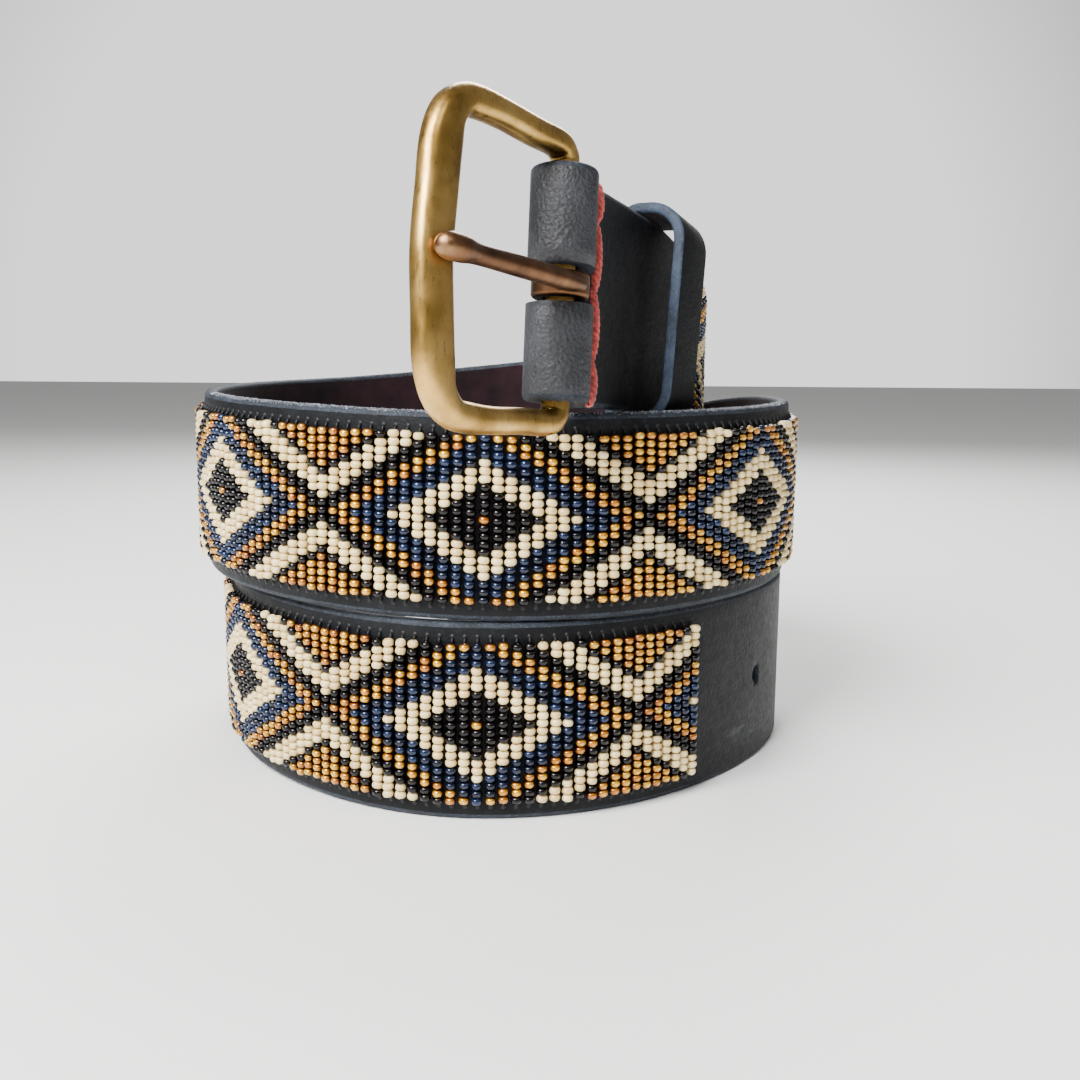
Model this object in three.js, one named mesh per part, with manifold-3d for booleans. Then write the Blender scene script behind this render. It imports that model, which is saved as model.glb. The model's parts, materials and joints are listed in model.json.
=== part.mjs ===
import * as THREE from 'three';
import { mergeVertices } from 'three/addons/utils/BufferGeometryUtils.js';
import Module from 'manifold-3d';

const wasm = await Module();
wasm.setup();

// A beaded leather belt that stands on its edge, rolled into a stack of turns, with its buckle on top.
// Millimetres, +Z up, the front of the roll towards -Y.

// Strap leather
const strapWidth = 40;
const strapThickness = 3;
const coilRadius = 70;
const turnGap = 0.35; // between the edges of two turns that stand on each other
const layerGap = 0.6; // between two turns that pass side by side
const endTurn = 918; // degrees from the front of the roll to the strap's free end
const tipLength = 30;
const tipBluntness = 0.95; // share of the tip's ellipse at which the end is cut square
const stepLength = 4.8; // between two sections of the strap

// Beadwork
const beadWidth = 2.458; // across one bead and its spacing, along the strap
const beadLength = 1.55; // along the hole, across the strap
const beadRows = 21;
const beadHeight = 2.2;
const beadSeat = 0.2; // clearance between the leather and the beads
const diamondTurn = 716; // degrees at which the front diamond of the lower turn has its middle column
const firstColumnAt = 66.5; // from the buckle bar to about the first column, along the strap
const columnsAfter = 19;
const beadEdgeShare = 0.4; // height of the band's side before its round shoulder
const beadShoulder = 0.8;

// Fold round the buckle bar
const barRadius = 2.5;
const barClearance = 0.4;
const neckLength = 9;
const flapLength = 26;
const flapGap = 0.3;
const slotWidth = 6.6;
const slotReach = 6.4; // past the bar, on the strap's side
const slotFront = 8; // past the bar, on the buckle's side

// Punched holes
const holeDiameter = 4;
const holeSpacing = 25;
const holeCount = 5;
const firstHoleFromBeads = 26;

// Keeper loop
const keeperAt = 45; // from the buckle bar to the loop's middle
const keeperWidth = 13;
const keeperWall = 2.2;
const keeperClearance = 0.7;
const keeperRoom = 6.4; // free space in front of the strap for the free end
const keeperCorner = 4;

// Buckle
const buckleSwing = 19; // degrees that it hangs aside from the strap's line
const windowLength = 28.5; // from the bar to the inner edge of the outer bar
const sideClearance = 0.9; // from the strap's edge to the frame's arm
const armWidth = 4.6;
const outerBarWidth = 7.5;
const frameDepth = 5;
const prongRadius = 1.75;
const prongTipRadius = 2.1;
const prongRingWidth = 4.6;
const prongRingWall = 2.3;
const prongClearance = 0.3;

const levelPitch = strapWidth + turnGap;
const layerPitch = strapThickness + beadHeight + layerGap;
const bandHalf = beadRows * beadLength / 2;

// The way that the strap is rolled, from the buckle bar to the free end. turn: degrees round the roll from its
// front, seen from above anticlockwise. reach: share of coilRadius. layer: layerPitches further out. level:
// levelPitches above the turn that stands on the table.
const ROUTE = [
  { turn: 7, reach: 1.285, layer: 0, level: 2.057 },
  { turn: 10, reach: 1.157, layer: 0, level: 2.03 },
  { turn: 14.1, reach: 1.038, layer: 0, level: 2.013 },
  { turn: 19.6, reach: 0.931, layer: 0, level: 1.997 },
  { turn: 26.7, reach: 0.841, layer: 0, level: 1.968 },
  { turn: 45.8, reach: 0.717, layer: 0, level: 1.87 },
  { turn: 69, reach: 0.665, layer: 0, level: 1.735 },
  { turn: 90, reach: 0.664, layer: 0, level: 1.6 },
  { turn: 122, reach: 0.757, layer: 0, level: 1.44 },
  { turn: 148, reach: 0.955, layer: -1, level: 1.325 },
  { turn: 175, reach: 1.016, layer: -1, level: 1.23 },
  { turn: 200, reach: 1.033, layer: -1, level: 1.16 },
  { turn: 225, reach: 1.02, layer: -0.5, level: 1.11 },
  { turn: 270, reach: 1, layer: 0, level: 1.075 },
  { turn: 315, reach: 1.03, layer: 0, level: 1.036 },
  { turn: 360, reach: 1.043, layer: 0, level: 1 },
  { turn: 405, reach: 1.007, layer: 0, level: 1.012 },
  { turn: 450, reach: 0.971, layer: 0, level: 1.03 },
  { turn: 466, reach: 0.985, layer: 0, level: 1.02 },
  { turn: 482, reach: 1.014, layer: 0, level: 0.97 },
  { turn: 510, reach: 1.04, layer: 0, level: 0.78 },
  { turn: 540, reach: 1.055, layer: 0, level: 0.48 },
  { turn: 570, reach: 1.052, layer: 0, level: 0.22 },
  { turn: 600, reach: 1, layer: 0, level: 0.085 },
  { turn: 630, reach: 0.929, layer: 0, level: 0.045 },
  { turn: 675, reach: 0.979, layer: 0, level: 0.018 },
  { turn: 714, reach: 1.04, layer: 0, level: 0 },
  { turn: 765, reach: 0.968, layer: 0, level: 0 },
  { turn: 808, reach: 0.976, layer: 0, level: 0 },
  { turn: 832, reach: 1.03, layer: -1, level: 0 },
  { turn: 860, reach: 1.008, layer: -1, level: 0 },
  { turn: 900, reach: 1.008, layer: -1, level: 0 },
  { turn: endTurn, reach: 1.008, layer: -1, level: 0 },
];

// A smooth value between the rows of a table, with each row's slope taken from its two neighbours.
function between(rows, value, key, at) {
  let i = 0;
  while (i < rows.length - 2 && rows[i + 1][key] < at) i++;
  const slope = (k) => {
    const a = rows[Math.max(k - 1, 0)];
    const b = rows[Math.min(k + 1, rows.length - 1)];
    return (value(b) - value(a)) / (b[key] - a[key]);
  };
  const span = rows[i + 1][key] - rows[i][key];
  const u = (at - rows[i][key]) / span;
  const rise = u * u * (3 - 2 * u);
  return value(rows[i]) * (1 - rise) + value(rows[i + 1]) * rise
    + span * (slope(i) * u * (1 - u) ** 2 - slope(i + 1) * u * u * (1 - u));
}

function routePoint(turn) {
  const radius = between(ROUTE, (row) => coilRadius * row.reach + layerPitch * row.layer, 'turn', turn);
  const level = Math.max(0, between(ROUTE, (row) => row.level, 'turn', turn));
  const height = strapWidth / 2 + levelPitch * level;
  const angle = THREE.MathUtils.degToRad(turn);
  return new THREE.Vector3(radius * Math.sin(angle), -radius * Math.cos(angle), height);
}

// The strap's middle line as close points with their distance from the buckle bar
const turnStep = 0.25;
const line = [];
for (let turn = ROUTE[0].turn, length = 0; turn <= endTurn + 1e-6; turn += turnStep) {
  const point = routePoint(turn);
  if (line.length) length += point.distanceTo(line.at(-1).point);
  line.push({ turn, point, length });
}
const strapLength = line.at(-1).length;

function lineAt(length) {
  let i = 0;
  while (i < line.length - 2 && line[i + 1].length < length) i++;
  const share = (length - line[i].length) / (line[i + 1].length - line[i].length);
  return line[i].point.clone().lerp(line[i + 1].point, share);
}

function lengthAtTurn(turn) {
  return line.find((entry) => entry.turn >= turn).length;
}

// The directions at a place on the strap: along it, out of its beaded face, and across it upwards
const slopeReach = 1.5;
function directionsAt(length) {
  const middle = THREE.MathUtils.clamp(length, slopeReach, strapLength - slopeReach);
  const along = lineAt(middle + slopeReach).sub(lineAt(middle - slopeReach)).normalize();
  const out = new THREE.Vector3(along.y, -along.x, 0).normalize();
  const across = new THREE.Vector3().crossVectors(out, along).normalize();
  return { along, out, across };
}

// The leather's two layers part round the bar: how far each one's middle is from the bar's axis
const wrapRadius = barRadius + barClearance + strapThickness / 2;
const closedOffset = (strapThickness + flapGap) / 2;
function layerOffset(length) {
  const share = THREE.MathUtils.clamp(length / neckLength, 0, 1);
  const eased = share * share * (3 - 2 * share);
  return wrapRadius + (closedOffset - wrapRadius) * eased;
}

const barDirections = directionsAt(0);
const barCentre = lineAt(0).addScaledVector(barDirections.out, -closedOffset);

// The buckle hangs swung to one side on its bar
const swing = THREE.MathUtils.degToRad(buckleSwing);
const buckleDirections = {
  along: barDirections.along.clone().multiplyScalar(Math.cos(swing))
    .addScaledVector(barDirections.out, Math.sin(swing)),
  out: barDirections.out.clone().multiplyScalar(Math.cos(swing))
    .addScaledVector(barDirections.along, -Math.sin(swing)),
  across: barDirections.across,
};

// One section of the leather: its middle, the way out of the grain side, and the way across
function strapSection(length, side) {
  const { along, out, across } = directionsAt(length);
  const offset = side * layerOffset(length) - closedOffset;
  const lean = (layerOffset(length + 0.01) - layerOffset(Math.max(length - 0.01, 0))) / 0.02;
  const grain = out.clone().multiplyScalar(side).addScaledVector(along, -lean).normalize();
  return { middle: lineAt(length).addScaledVector(out, offset), grain, across, length };
}

function wrapSection(angle) {
  const { along, out, across } = barDirections;
  const grain = along.clone().multiplyScalar(Math.cos(angle)).addScaledVector(out, Math.sin(angle));
  return { middle: barCentre.clone().addScaledVector(grain, wrapRadius), grain, across, length: 0 };
}

// A closed solid through rings of points that have the same number of corners
function loft(rings, closed = false) {
  const positions = rings.flat().flatMap((p) => [p.x, p.y, p.z]);
  const corners = rings[0].length;
  const index = [];
  const last = closed ? rings.length : rings.length - 1;
  for (let i = 0; i < last; i++) {
    const here = i * corners;
    const next = ((i + 1) % rings.length) * corners;
    for (let j = 0; j < corners; j++) {
      const k = (j + 1) % corners;
      index.push(here + j, here + k, next + k, here + j, next + k, next + j);
    }
  }
  if (!closed) {
    const end = (rings.length - 1) * corners;
    for (let j = 1; j < corners - 1; j++) {
      index.push(0, j + 1, j, end, end + j, end + j + 1);
    }
  }
  const geometry = new THREE.BufferGeometry();
  geometry.setAttribute('position', new THREE.Float32BufferAttribute(positions, 3));
  geometry.setIndex(index);
  if (volume(geometry) < 0) {
    for (let i = 0; i < index.length; i += 3) [index[i], index[i + 1]] = [index[i + 1], index[i]];
    geometry.setIndex(index);
  }
  return geometry;
}

function volume(geometry) {
  const p = geometry.attributes.position;
  const index = geometry.index.array;
  const [a, b, c] = [new THREE.Vector3(), new THREE.Vector3(), new THREE.Vector3()];
  let sum = 0;
  for (let i = 0; i < index.length; i += 3) {
    a.fromBufferAttribute(p, index[i]);
    b.fromBufferAttribute(p, index[i + 1]);
    c.fromBufferAttribute(p, index[i + 2]);
    sum += a.dot(b.cross(c)) / 6;
  }
  return sum;
}

function toSolid(geometry) {
  const bare = geometry.clone();
  bare.deleteAttribute('normal');
  bare.deleteAttribute('uv');
  const merged = mergeVertices(bare, 1e-4);
  return new wasm.Manifold(new wasm.Mesh({
    numProp: 3,
    vertProperties: Float32Array.from(merged.attributes.position.array),
    triVerts: Uint32Array.from(merged.index.array),
  }));
}

function toGeometry(solid) {
  const mesh = solid.getMesh();
  const geometry = new THREE.BufferGeometry();
  geometry.setAttribute('position', new THREE.BufferAttribute(mesh.vertProperties, 3));
  geometry.setIndex(new THREE.BufferAttribute(mesh.triVerts, 1));
  geometry.computeVertexNormals();
  return geometry;
}

// Moves a shape drawn with out along X, the strap's run along Y and across along Z to a place on the strap
function placeAt(geometry, origin, { along, out, across }) {
  const basis = new THREE.Matrix4().makeBasis(out, along, across);
  basis.setPosition(origin);
  return geometry.clone().applyMatrix4(basis);
}

function halfWidthAt(length) {
  const past = Math.max(0, length - (strapLength - tipLength)) / tipLength * tipBluntness;
  return strapWidth / 2 * Math.sqrt(1 - past * past);
}

function strapRing({ middle, grain, across, length }) {
  const half = halfWidthAt(length);
  const corner = (u, v) => middle.clone()
    .addScaledVector(grain, u * strapThickness / 2)
    .addScaledVector(across, v * half);
  return [corner(-1, -1), corner(1, -1), corner(1, 1), corner(-1, 1)];
}

function evenSteps(from, to, step) {
  const count = Math.max(1, Math.round((to - from) / step));
  return Array.from({ length: count + 1 }, (_, i) => from + (to - from) * i / count);
}

const columnsBefore = Math.round((lengthAtTurn(diamondTurn) - firstColumnAt) / beadWidth);
const beadsStart = lengthAtTurn(diamondTurn) - (columnsBefore + 0.5) * beadWidth;
const beadsEnd = lengthAtTurn(diamondTurn) + (columnsAfter + 0.5) * beadWidth;
const beadSteps = evenSteps(beadsStart, beadsEnd, 2 * beadWidth);

function makeStrap() {
  const neckStep = neckLength / 6;
  const flap = evenSteps(0, flapLength, neckStep).reverse().map((length) => strapSection(length, -1));
  const wrap = evenSteps(-Math.PI / 2, -1.5 * Math.PI, Math.PI / 12).slice(1, -1).map(wrapSection);
  const main = [
    ...evenSteps(0, neckLength, neckStep),
    ...evenSteps(neckLength, beadsStart, stepLength).slice(1, -1),
    ...beadSteps,
    ...evenSteps(beadsEnd, strapLength - tipLength, stepLength).slice(1),
    ...evenSteps(0, Math.PI / 2, Math.PI / 16).slice(1)
      .map((angle) => strapLength - tipLength + tipLength * Math.sin(angle)),
  ].map((length) => strapSection(length, 1));
  let solid = toSolid(loft([...flap, ...wrap, ...main].map(strapRing)));

  const slotDepth = 4 * wrapRadius;
  const slot = new THREE.BoxGeometry(slotDepth, slotFront + slotReach, slotWidth);
  slot.translate(0, (slotReach - slotFront) / 2, 0);
  solid = solid.subtract(toSolid(placeAt(slot, barCentre, barDirections)));

  for (let i = 0; i < holeCount; i++) {
    const length = beadsEnd + firstHoleFromBeads + i * holeSpacing;
    const hole = new THREE.CylinderGeometry(holeDiameter / 2, holeDiameter / 2, 3 * strapThickness, 16);
    hole.rotateZ(Math.PI / 2);
    solid = solid.subtract(toSolid(placeAt(hole, lineAt(length), directionsAt(length))));
  }
  return toGeometry(solid);
}

function makeBeadwork() {
  const base = strapThickness / 2 + beadSeat;
  const outline = [
    [-1, 0, 0], [-1, beadEdgeShare, 0], [-1, 1, beadShoulder],
    [1, 1, -beadShoulder], [1, beadEdgeShare, 0], [1, 0, 0],
  ];
  const rings = beadSteps.map((length) => {
    const { out, across } = directionsAt(length);
    return outline.map(([side, height, shift]) => lineAt(length)
      .addScaledVector(out, base + beadHeight * height)
      .addScaledVector(across, side * bandHalf + shift));
  });
  return loft(rings);
}

// A ring of points round a section of the strap: a rectangle from back to front with round corners
function roundedRing(length, back, front, half, radius) {
  const { out, across } = directionsAt(length);
  const centres = [[front - radius, half - radius], [back + radius, half - radius],
    [back + radius, radius - half], [front - radius, radius - half]];
  return centres.flatMap(([u, v], quarter) => evenSteps(0, Math.PI / 2, Math.PI / 8).map((turn) => {
    const angle = quarter * Math.PI / 2 + turn;
    return lineAt(length)
      .addScaledVector(out, u + radius * Math.cos(angle))
      .addScaledVector(across, v + radius * Math.sin(angle));
  }));
}

function makeKeeper() {
  const back = -strapThickness / 2 - keeperClearance;
  const front = strapThickness / 2 + keeperRoom;
  const half = strapWidth / 2 + keeperClearance;
  const block = (margin, wall, radius) => toSolid(loft(
    evenSteps(keeperAt - keeperWidth / 2 - margin, keeperAt + keeperWidth / 2 + margin, keeperWidth / 5)
      .map((length) => roundedRing(length, back - wall, front + wall, half + wall, radius)),
  ));
  const loop = block(0, keeperWall, keeperCorner).subtract(block(1, 0, keeperCorner - keeperWall));
  return toGeometry(loop);
}

// Buckle frame: half of its middle line. ahead: from the bar, as a share of the outer bar's place. side: as a
// share of the arm's place. width: in the frame's plane, and depth: through it, as shares of their named sizes.
const armAt = strapWidth / 2 + sideClearance + armWidth / 2;
const outerBarAt = windowLength + outerBarWidth / 2;
const FRAME_HALF = [
  { ahead: 0, side: 0, width: 'bar' },
  { ahead: 0, side: 0.3, width: 'bar' },
  { ahead: 0, side: 0.86, width: 'bar' },
  { ahead: 0.015, side: 0.96, width: 'end' },
  { ahead: 0.09, side: 1.02, width: 'arm' },
  { ahead: 0.3, side: 1.03, width: 'arm' },
  { ahead: 0.55, side: 1.05, width: 'arm' },
  { ahead: 0.75, side: 1.05, width: 'shoulder' },
  { ahead: 0.87, side: 1.02, width: 'shoulder' },
  { ahead: 0.96, side: 0.9, width: 'corner' },
  { ahead: 1, side: 0.7, width: 'outer' },
  { ahead: 1.02, side: 0.4, width: 'outer' },
  { ahead: 1.04, side: 0, width: 'outer' },
];
const FRAME_SECTION = {
  bar: { width: 2 * barRadius, depth: 2 * barRadius },
  end: { width: 2 * barRadius, depth: 2 * barRadius },
  arm: { width: armWidth, depth: frameDepth },
  shoulder: { width: armWidth * 1.08, depth: frameDepth },
  corner: { width: (armWidth + outerBarWidth) / 2, depth: frameDepth },
  outer: { width: outerBarWidth, depth: frameDepth },
};
const frameSides = 12;

function makeFrame() {
  const mirrored = FRAME_HALF.slice(1, -1).reverse().map((row) => ({ ...row, side: -row.side }));
  const rows = [...FRAME_HALF, ...mirrored].map((row) => ({
    y: -row.ahead * outerBarAt,
    z: row.side * armAt,
    ...FRAME_SECTION[row.width],
  }));
  const rings = rows.map((row, i) => {
    const before = rows[(i + rows.length - 1) % rows.length];
    const after = rows[(i + 1) % rows.length];
    const run = new THREE.Vector3(0, after.y - before.y, after.z - before.z).normalize();
    const aside = new THREE.Vector3(0, -run.z, run.y);
    return Array.from({ length: frameSides }, (_, k) => {
      const angle = 2 * Math.PI * (k + 0.5) / frameSides;
      return new THREE.Vector3(row.depth / 2 * Math.sin(angle), row.y, row.z)
        .addScaledVector(aside, row.width / 2 * Math.cos(angle));
    });
  });
  return placeAt(loft(rings, true), barCentre, buckleDirections);
}

function makeProng() {
  const ringInner = barRadius + prongClearance;
  const ringOuter = ringInner + prongRingWall;
  const ring = new THREE.LatheGeometry([
    new THREE.Vector2(ringInner, -prongRingWidth / 2),
    new THREE.Vector2(ringOuter, -prongRingWidth / 2),
    new THREE.Vector2(ringOuter, prongRingWidth / 2),
    new THREE.Vector2(ringInner, prongRingWidth / 2),
    new THREE.Vector2(ringInner, -prongRingWidth / 2),
  ], 24);
  ring.rotateX(Math.PI / 2);
  // The pin: ahead of the bar, its height over the frame's plane and its radius
  const rest = frameDepth / 2 + prongClearance + prongRadius;
  const pinEnd = outerBarAt + outerBarWidth / 2;
  const pin = [
    { ahead: 0, height: ringInner + prongRadius * 0.7, radius: prongRadius * 0.85 },
    { ahead: ringOuter, height: rest, radius: prongRadius },
    { ahead: outerBarAt * 0.5, height: rest, radius: prongRadius },
    { ahead: outerBarAt * 0.86, height: rest, radius: prongRadius * 0.95 },
    { ahead: outerBarAt, height: rest + 0.35, radius: prongTipRadius },
    { ahead: pinEnd - prongTipRadius * 0.4, height: rest + 0.25, radius: prongTipRadius },
    { ahead: pinEnd + prongTipRadius * 0.3, height: rest + 0.1, radius: prongTipRadius * 0.75 },
    { ahead: pinEnd + prongTipRadius * 0.6, height: rest, radius: prongTipRadius * 0.3 },
  ];
  const sides = 12;
  const rings = pin.map(({ ahead, height, radius }) => Array.from({ length: sides }, (_, k) => {
    const angle = 2 * Math.PI * k / sides;
    return new THREE.Vector3(height + radius * Math.cos(angle), -ahead, radius * Math.sin(angle));
  }));
  const solid = toSolid(ring).add(toSolid(loft(rings)));
  return placeAt(toGeometry(solid), barCentre, buckleDirections);
}

const leather = new THREE.MeshStandardMaterial({ color: 0x17181c, roughness: 0.6, metalness: 0 });
const beads = new THREE.MeshStandardMaterial({ color: 0xd9c79c, roughness: 0.3, metalness: 0 });
const keeperLeather = new THREE.MeshStandardMaterial({ color: 0x1b1d22, roughness: 0.6, metalness: 0 });
const brass = new THREE.MeshStandardMaterial({ color: 0xa8843c, roughness: 0.4, metalness: 1 });
const bronze = new THREE.MeshStandardMaterial({ color: 0x7c5532, roughness: 0.4, metalness: 1 });

function part(name, geometry, material) {
  const mesh = new THREE.Mesh(geometry, material);
  mesh.name = name;
  return mesh;
}

const belt = new THREE.Group();
belt.add(
  part('strap', makeStrap(), leather),
  part('beadwork', makeBeadwork(), beads),
  part('keeper_loop', makeKeeper(), keeperLeather),
  part('buckle_frame', makeFrame(), brass),
  part('buckle_prong', makeProng(), bronze),
);

// The origin is under the middle of the whole belt, on the table
const box = new THREE.Box3().setFromObject(belt);
const middle = box.getCenter(new THREE.Vector3());
belt.position.set(-middle.x, -middle.y, -box.min.z);
belt.updateMatrixWorld(true);

export default belt;
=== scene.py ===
# %% [markdown]
# # A rolled belt with seed beads
# The belt stands on its edge in two and a half turns. The imported model gives the places, and this notebook
# gives the looks: leather with its grain and worn edges, partly painted sheen, a bead for every bead, a sewn
# seam and old brass.

# %% Setup
import json
import math
import random

import bmesh
import bpy
import numpy as np
from mathutils import Matrix, Vector, noise


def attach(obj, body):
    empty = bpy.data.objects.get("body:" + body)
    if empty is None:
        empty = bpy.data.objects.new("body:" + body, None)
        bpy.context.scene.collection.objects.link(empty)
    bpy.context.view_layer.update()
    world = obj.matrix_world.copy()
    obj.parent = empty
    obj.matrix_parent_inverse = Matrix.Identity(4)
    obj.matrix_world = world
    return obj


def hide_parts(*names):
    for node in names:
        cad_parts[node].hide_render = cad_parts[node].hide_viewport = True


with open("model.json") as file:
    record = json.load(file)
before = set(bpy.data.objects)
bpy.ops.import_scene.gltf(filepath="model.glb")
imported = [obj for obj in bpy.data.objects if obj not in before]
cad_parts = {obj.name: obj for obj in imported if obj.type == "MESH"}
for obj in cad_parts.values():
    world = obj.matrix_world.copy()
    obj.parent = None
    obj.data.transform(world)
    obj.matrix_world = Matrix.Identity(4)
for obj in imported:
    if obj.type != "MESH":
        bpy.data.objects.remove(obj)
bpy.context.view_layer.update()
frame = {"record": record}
MM = 0.001
rng = random.Random(7)

# %% [markdown]
# ## Sizes
# These are the sizes of the model, in millimetres, so that every piece here lands on the one it stands for.

# %% Sizes
STRAP_WIDTH = 40.0
STRAP_THICKNESS = 3.0
COIL_RADIUS = 70.0
TURN_GAP = 0.35
LAYER_GAP = 0.6
END_TURN = 918.0
TIP_LENGTH = 30.0
TIP_BLUNTNESS = 0.95

BEAD_PITCH = 2.458
ROW_PITCH = 1.55
ROWS_EACH_SIDE = 10
BEAD_HEIGHT = 2.2
BEAD_SEAT = 0.2
DIAMOND_TURN = 716.0
DIAMOND_REPEAT = 26
COLUMNS_BEFORE = 321
COLUMNS_AFTER = 19

BAR_RADIUS = 2.5
BAR_CLEARANCE = 0.4
NECK_LENGTH = 9.0
FLAP_LENGTH = 26.0
FLAP_GAP = 0.3
SLOT_WIDTH = 6.6
SLOT_REACH = 6.4
SLOT_FRONT = 8.0

HOLE_DIAMETER = 4.0
HOLE_SPACING = 25.0
HOLE_COUNT = 5
FIRST_HOLE_FROM_BEADS = 26.0

KEEPER_AT = 45.0
KEEPER_WIDTH = 13.0
KEEPER_WALL = 2.2
KEEPER_CLEARANCE = 0.7
KEEPER_ROOM = 6.4
KEEPER_CORNER = 4.0
KEEPER_BEND = 8.0

BUCKLE_SWING = 19.0
WINDOW_LENGTH = 28.5
SIDE_CLEARANCE = 0.9
ARM_WIDTH = 4.6
OUTER_BAR_WIDTH = 7.5
FRAME_DEPTH = 5.0
PRONG_RADIUS = 1.75
PRONG_TIP_RADIUS = 2.1
PRONG_RING_WIDTH = 4.6
PRONG_RING_WALL = 2.3
PRONG_CLEARANCE = 0.3

LEVEL_PITCH = STRAP_WIDTH + TURN_GAP
LAYER_PITCH = STRAP_THICKNESS + BEAD_HEIGHT + LAYER_GAP
print("one turn above the next:", LEVEL_PITCH, "mm, one beside the next:", LAYER_PITCH, "mm")

# %% [markdown]
# ## The way the strap is rolled
# A roll is easiest to steer in polar terms: how far round, how far from the middle, how high. A short table
# of these, made smooth, gives the middle line of the leather from the buckle to the free end.

# %% Route
# Each row: turn in degrees, reach, layer, level
ROUTE = [
    (7, 1.285, 0, 2.057), (10, 1.157, 0, 2.03), (14.1, 1.038, 0, 2.013), (19.6, 0.931, 0, 1.997),
    (26.7, 0.841, 0, 1.968), (45.8, 0.717, 0, 1.87), (69, 0.665, 0, 1.735), (90, 0.664, 0, 1.6),
    (122, 0.757, 0, 1.44), (148, 0.955, -1, 1.325), (175, 1.016, -1, 1.23), (200, 1.033, -1, 1.16),
    (225, 1.02, -0.5, 1.11), (270, 1, 0, 1.075), (315, 1.03, 0, 1.036), (360, 1.043, 0, 1),
    (405, 1.007, 0, 1.012), (450, 0.971, 0, 1.03), (466, 0.985, 0, 1.02), (482, 1.014, 0, 0.97),
    (510, 1.04, 0, 0.78), (540, 1.055, 0, 0.48), (570, 1.052, 0, 0.22), (600, 1, 0, 0.085),
    (630, 0.929, 0, 0.045), (675, 0.979, 0, 0.018), (714, 1.04, 0, 0), (765, 0.968, 0, 0),
    (808, 0.976, 0, 0), (832, 1.03, -1, 0), (860, 1.008, -1, 0), (900, 1.008, -1, 0),
    (END_TURN, 1.008, -1, 0),
]


def between(keys, values, at):
    """A smooth value between rows, with each row's slope taken from its two neighbours."""
    i = int(np.clip(np.searchsorted(keys, at, side="left") - 1, 0, len(keys) - 2))

    def slope(k):
        a, b = max(k - 1, 0), min(k + 1, len(keys) - 1)
        return (values[b] - values[a]) / (keys[b] - keys[a])

    span = keys[i + 1] - keys[i]
    u = (at - keys[i]) / span
    rise = u * u * (3 - 2 * u)
    ends = slope(i) * u * (1 - u) ** 2 - slope(i + 1) * u * u * (1 - u)
    return values[i] * (1 - rise) + values[i + 1] * rise + span * ends


TURNS = [row[0] for row in ROUTE]
RADII = [COIL_RADIUS * row[1] + LAYER_PITCH * row[2] for row in ROUTE]
LEVELS = [row[3] for row in ROUTE]


def route_point(turn):
    radius = between(TURNS, RADII, turn)
    level = max(0.0, between(TURNS, LEVELS, turn))
    angle = math.radians(turn)
    return (radius * math.sin(angle), -radius * math.cos(angle), STRAP_WIDTH / 2 + LEVEL_PITCH * level)


line_turns = np.arange(TURNS[0], END_TURN + 1e-6, 0.25)
line_points = np.array([route_point(t) for t in line_turns])
line_lengths = np.concatenate([[0], np.cumsum(np.linalg.norm(np.diff(line_points, axis=0), axis=1))])
STRAP_LENGTH = float(line_lengths[-1])
print("strap length:", round(STRAP_LENGTH, 1), "mm")


def line_at(length):
    return np.array([np.interp(length, line_lengths, line_points[:, k]) for k in range(3)])


def length_at_turn(turn):
    return float(np.interp(turn, line_turns, line_lengths))


def unit(v):
    return v / np.linalg.norm(v)


def directions_at(length):
    """Along the strap, out of its beaded face, and across it upwards."""
    middle = min(max(length, 1.5), STRAP_LENGTH - 1.5)
    along = unit(line_at(middle + 1.5) - line_at(middle - 1.5))
    out = unit(np.array([along[1], -along[0], 0.0]))
    return along, out, unit(np.cross(out, along))


def place(length, outward, across):
    """A point given by its length along the strap, height over its middle and distance across."""
    _, out, side = directions_at(length)
    return line_at(length) + out * outward + side * across


CLOSED_OFFSET = (STRAP_THICKNESS + FLAP_GAP) / 2
bar_along, bar_out, bar_across = directions_at(0)
bar_centre = line_at(0) - bar_out * CLOSED_OFFSET
joint = next(j for j in frame["record"]["behaviour"]["joints"] if j["name"] == "frame_swing")
SHIFT = np.array(joint["pos_m"]) / MM - bar_centre
print("shift of the roll to the model's origin:", SHIFT.round(2))

# %% [markdown]
# ## Helpers for meshes
# Leather, keeper, frame and pin are all the same trick: a closed outline carried along a path, ring by ring.

# %% Mesh helpers
def new_object(name, points, faces, materials, indexes=None, sharp=False):
    mesh = bpy.data.meshes.new(name)
    mesh.from_pydata(((np.asarray(points) + SHIFT) * MM).tolist(), [], faces)
    for material in materials:
        mesh.materials.append(material)
    if indexes is not None:
        mesh.polygons.foreach_set("material_index", indexes)
    mesh.polygons.foreach_set("use_smooth", [not sharp] * len(mesh.polygons))
    mesh.validate()
    obj = bpy.data.objects.new(name, mesh)
    bpy.context.scene.collection.objects.link(obj)
    return obj


def ring_faces(rings, corners, closed):
    faces = []
    for i in range(rings if closed else rings - 1):
        here, after = i * corners, ((i + 1) % rings) * corners
        for j in range(corners):
            k = (j + 1) % corners
            faces.append((here + j, here + k, after + k, after + j))
    if not closed:
        faces.append(tuple(reversed(range(corners))))
        faces.append(tuple(range((rings - 1) * corners, rings * corners)))
    return faces


def face_outwards(obj):
    """Turns every face of a closed mesh outwards."""
    work = bmesh.new()
    work.from_mesh(obj.data)
    bmesh.ops.recalc_face_normals(work, faces=work.faces)
    work.to_mesh(obj.data)
    work.free()


print("faces of a closed ring of 4 sections with 3 corners:", len(ring_faces(4, 3, True)))

# %% [markdown]
# ## Helpers for materials
# Colours are written as on a paint card, in hexadecimal, and turned into the linear values that a renderer
# needs. Pattern sizes are written in millimetres.

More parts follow.
